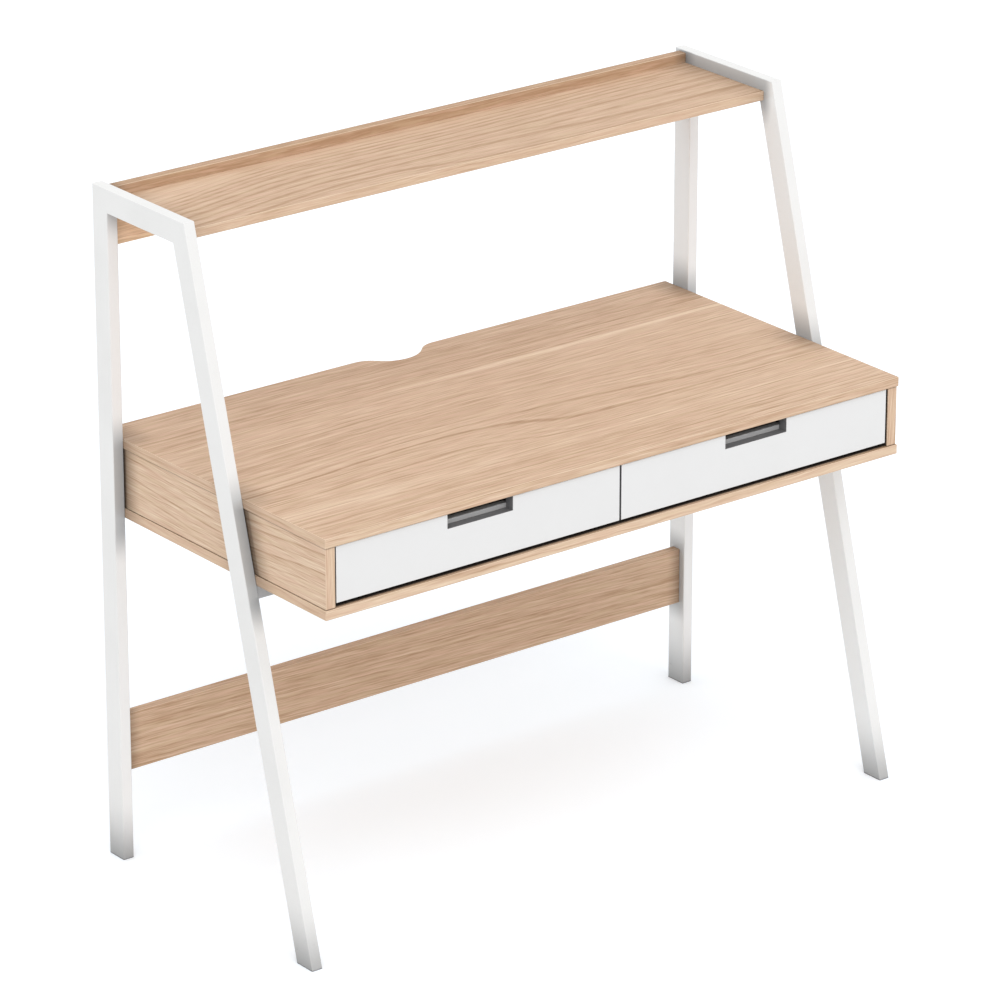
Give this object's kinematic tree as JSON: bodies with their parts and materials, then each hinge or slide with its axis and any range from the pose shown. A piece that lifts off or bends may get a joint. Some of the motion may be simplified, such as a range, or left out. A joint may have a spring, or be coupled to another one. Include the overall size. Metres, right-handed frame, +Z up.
{
  "type": "computer desk",
  "caption": "Ladder-style computer desk: white steel tube side frames carry an oak box with white drawers, a raised shelf with a back lip and a low stretcher.",
  "frame": {"origin": "on the floor under the middle of the desk", "axes": "+X to the sitter's right, +Y from the sitter towards the back of the desk, +Z up"},
  "size_m": [1.2, 0.6, 1.15],
  "materials": {
    "white_steel": "satin white powder coat on welded steel tube",
    "oak_board": "pale oak foil on board, fine straight grain, matt",
    "white_front": "matt white lacquered board",
    "drawer_board": "pale grey melamine on board",
    "drawer_bottom_board": "pale grey foil on thin fibreboard",
    "slide_steel": "zinc plated, cold rolled",
    "ball_steel": "bright, lightly greased",
    "zinc_fixings": "zinc plated",
    "beech_dowel": "fluted beech, unfinished",
    "foot_plastic": "moulded, off-white"
  },
  "bodies": {
    "desk": {"back_panel": "oak_board", "bar_fixings": "zinc_fixings", "box_bolts": "zinc_fixings", "box_bottom": "oak_board", "cabinet_rail_screws": "zinc_fixings", "cam_locks": "zinc_fixings", "cam_pins": "zinc_fixings", "carcass_dowels": "beech_dowel", "carcass_screws": "zinc_fixings", "centre_divider": "oak_board", "desk_top": "oak_board", "frame_nuts": "zinc_fixings", "front_cross_bar": "white_steel", "front_feet": "foot_plastic", "left_bar_stub": "white_steel", "left_divider_cabinet_rail": "slide_steel", "left_front_leg": "white_steel", "left_rear_leg": "white_steel", "left_side_panel": "oak_board", "left_top_rail": "white_steel", "left_wall_cabinet_rail": "slide_steel", "rear_feet": "foot_plastic", "right_bar_stub": "white_steel", "right_divider_cabinet_rail": "slide_steel", "right_front_leg": "white_steel", "right_rear_leg": "white_steel", "right_side_panel": "oak_board", "right_top_rail": "white_steel", "right_wall_cabinet_rail": "slide_steel", "shelf_back_board": "oak_board", "shelf_board": "oak_board", "stretcher_board": "oak_board"},
    "left_drawer": {"left_divider_drawer_rail": "slide_steel", "left_drawer_bottom": "drawer_bottom_board", "left_drawer_box_back": "drawer_board", "left_drawer_box_front": "drawer_board", "left_drawer_divider_side": "drawer_board", "left_drawer_front": "white_front", "left_drawer_screws": "zinc_fixings", "left_drawer_wall_side": "drawer_board", "left_wall_drawer_rail": "slide_steel"},
    "left_middle_rails": {"left_divider_middle_rail": "slide_steel", "left_wall_middle_rail": "slide_steel"},
    "left_outer_cages": {"left_outer_ball_cages": "ball_steel"},
    "left_inner_cages": {"left_inner_ball_cages": "ball_steel"},
    "right_drawer": {"right_divider_drawer_rail": "slide_steel", "right_drawer_bottom": "drawer_bottom_board", "right_drawer_box_back": "drawer_board", "right_drawer_box_front": "drawer_board", "right_drawer_divider_side": "drawer_board", "right_drawer_front": "white_front", "right_drawer_screws": "zinc_fixings", "right_drawer_wall_side": "drawer_board", "right_wall_drawer_rail": "slide_steel"},
    "right_middle_rails": {"right_divider_middle_rail": "slide_steel", "right_wall_middle_rail": "slide_steel"},
    "right_outer_cages": {"right_outer_ball_cages": "ball_steel"},
    "right_inner_cages": {"right_inner_ball_cages": "ball_steel"}
  },
  "joints": [
    {"name": "left_drawer_slide", "type": "slide", "parent": "desk", "child": "left_drawer", "axis": [0, -1, 0], "range_m": [0, 0.43]},
    {"name": "left_middle_rails_slide", "type": "slide", "parent": "desk", "child": "left_middle_rails", "axis": [0, -1, 0], "range_m": [0, 0.2155]},
    {"name": "left_outer_cages_slide", "type": "slide", "parent": "desk", "child": "left_outer_cages", "axis": [0, -1, 0], "range_m": [0, 0.108]},
    {"name": "left_inner_cages_slide", "type": "slide", "parent": "desk", "child": "left_inner_cages", "axis": [0, -1, 0], "range_m": [0, 0.323]},
    {"name": "right_drawer_slide", "type": "slide", "parent": "desk", "child": "right_drawer", "axis": [0, -1, 0], "range_m": [0, 0.43]},
    {"name": "right_middle_rails_slide", "type": "slide", "parent": "desk", "child": "right_middle_rails", "axis": [0, -1, 0], "range_m": [0, 0.2155]},
    {"name": "right_outer_cages_slide", "type": "slide", "parent": "desk", "child": "right_outer_cages", "axis": [0, -1, 0], "range_m": [0, 0.108]},
    {"name": "right_inner_cages_slide", "type": "slide", "parent": "desk", "child": "right_inner_cages", "axis": [0, -1, 0], "range_m": [0, 0.323]}
  ],
  "couplings": [
    {"joint": "left_middle_rails_slide", "follows": "left_drawer_slide", "ratio": 0.5},
    {"joint": "left_outer_cages_slide", "follows": "left_drawer_slide", "ratio": 0.25},
    {"joint": "left_inner_cages_slide", "follows": "left_drawer_slide", "ratio": 0.75},
    {"joint": "right_middle_rails_slide", "follows": "right_drawer_slide", "ratio": 0.5},
    {"joint": "right_outer_cages_slide", "follows": "right_drawer_slide", "ratio": 0.25},
    {"joint": "right_inner_cages_slide", "follows": "right_drawer_slide", "ratio": 0.75}
  ]
}
